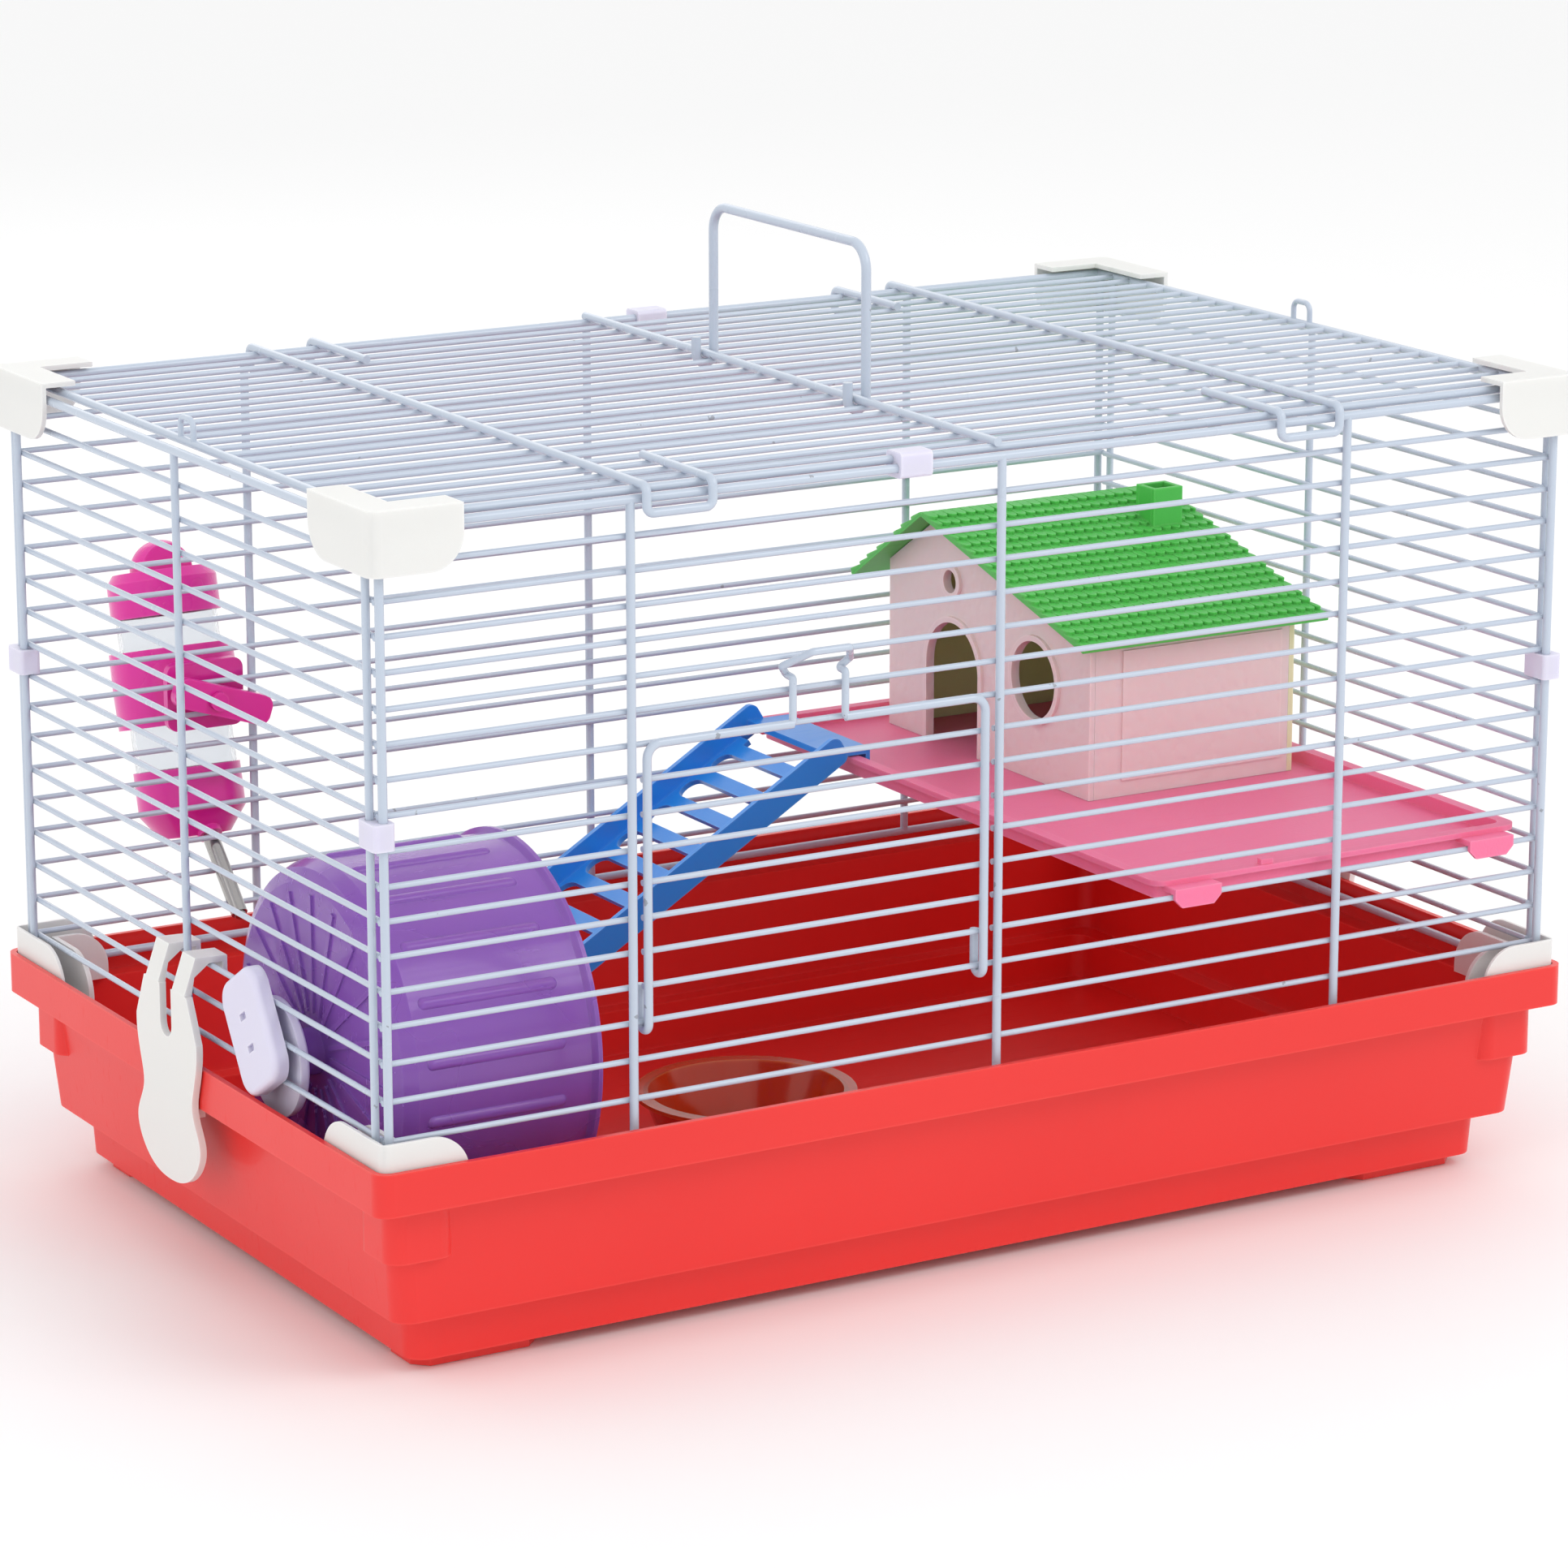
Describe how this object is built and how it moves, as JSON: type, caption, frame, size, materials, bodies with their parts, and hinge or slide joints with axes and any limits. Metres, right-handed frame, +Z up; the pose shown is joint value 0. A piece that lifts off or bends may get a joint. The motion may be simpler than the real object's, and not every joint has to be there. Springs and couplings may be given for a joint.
{
  "type": "hamster cage",
  "caption": "Wire hamster cage with a deep plastic tray, front door, carry handle, running wheel, shelf with house, ladder, bowl and drinking bottle.",
  "frame": {"origin": "on the ground under the middle of the whole cage's bounding box, the bottle behind the back wall included", "axes": "+X to the right along the long front, +Y from the front wall to the back wall, +Z up"},
  "size_m": [0.476, 0.3531, 0.3417],
  "materials": {
    "tray_red": "moulded, semi-gloss",
    "coated_wire": "glossy powder coat",
    "white_plastic": "moulded, semi-gloss",
    "milky_plastic": "milky, semi-gloss",
    "purple_clear": "clear tinted, glossy",
    "shelf_pink": "fine texture, semi-gloss",
    "ramp_blue": "moulded, glossy",
    "bowl_orange": "clear tinted, glossy",
    "roof_green": "moulded, semi-gloss",
    "house_wall": "pebbled texture",
    "house_inner": "smooth",
    "bottle_clear": "clear, glossy",
    "bottle_pink": "moulded, glossy",
    "steel": "polished"
  },
  "bodies": {
    "cage": {"back_panel": "coated_wire", "base_corner_back_left": "white_plastic", "base_corner_back_right": "white_plastic", "base_corner_front_left": "white_plastic", "base_corner_front_right": "white_plastic", "bottle_body": "bottle_clear", "bottle_bottom_cap": "bottle_pink", "bottle_holder": "bottle_pink", "bottle_top_cap": "bottle_pink", "front_panel": "coated_wire", "left_panel": "coated_wire", "post_clip_back_left": "milky_plastic", "post_clip_back_right": "milky_plastic", "post_clip_front_left": "milky_plastic", "post_clip_front_right": "milky_plastic", "rail_clip_back": "milky_plastic", "rail_clip_front": "milky_plastic", "right_panel": "coated_wire", "shelf": "shelf_pink", "sipper_ball": "steel", "sipper_tube": "steel", "top_corner_back_left": "white_plastic", "top_corner_back_right": "white_plastic", "top_corner_front_left": "white_plastic", "top_corner_front_right": "white_plastic", "top_panel": "coated_wire", "tray": "tray_red", "wheel_axle": "milky_plastic", "wheel_mount_inner": "milky_plastic", "wheel_mount_outer": "milky_plastic"},
    "door": {"door": "coated_wire"},
    "handle": {"carry_handle": "coated_wire"},
    "latch_left": {"side_latch_left": "white_plastic"},
    "latch_right": {"side_latch_right": "white_plastic"},
    "wheel": {"wheel_drum": "purple_clear"},
    "ramp": {"ramp": "ramp_blue"},
    "bowl": {"bowl": "bowl_orange"},
    "house": {"house_gable_left": "house_wall", "house_gable_right": "house_inner", "house_front_wall": "house_wall", "house_back_wall": "house_inner"},
    "roof": {"house_roof": "roof_green"},
    "lever": {"holder_lever": "bottle_pink"}
  },
  "joints": [
    {"name": "door_swing", "type": "hinge", "parent": "cage", "child": "door", "pos_m": [-0.0695, -0.16495, 0.1102], "axis": [1, 0, 0], "range_deg": [0, 150]},
    {"name": "handle_swing", "type": "hinge", "parent": "cage", "child": "handle", "pos_m": [-0.001, -0.02515, 0.2875], "axis": [0, 1, 0], "range_deg": [-86, 82]},
    {"name": "latch_left_swing", "type": "hinge", "parent": "cage", "child": "latch_left", "pos_m": [-0.2271, -0.02115, 0.1102], "axis": [0, 1, 0], "range_deg": [0, 60]},
    {"name": "latch_right_swing", "type": "hinge", "parent": "cage", "child": "latch_right", "pos_m": [0.2271, -0.02115, 0.1102], "axis": [0, -1, 0], "range_deg": [0, 60]},
    {"name": "wheel_spin", "type": "hinge", "parent": "cage", "child": "wheel", "pos_m": [-0.174, -0.07865, 0.0895], "axis": [1, 0, 0], "continuous": true},
    {"name": "ramp_swing", "type": "hinge", "parent": "cage", "child": "ramp", "pos_m": [0.0754, 0.07185, 0.1245], "axis": [0, 1, 0], "range_deg": [0, 15]},
    {"name": "bowl_lift", "type": "slide", "parent": "cage", "child": "bowl", "axis": [0, 0, 1], "range_m": [0, 0.06]},
    {"name": "house_lift", "type": "slide", "parent": "cage", "child": "house", "axis": [0, 0, 1], "range_m": [0, 0.045]},
    {"name": "roof_lift", "type": "slide", "parent": "house", "child": "roof", "axis": [0, 0, 1], "range_m": [0, 0.015]},
    {"name": "lever_turn", "type": "hinge", "parent": "cage", "child": "lever", "pos_m": [-0.1565, 0.10985, 0.1624], "axis": [0, 1, 0], "range_deg": [-90, 90]}
  ]
}
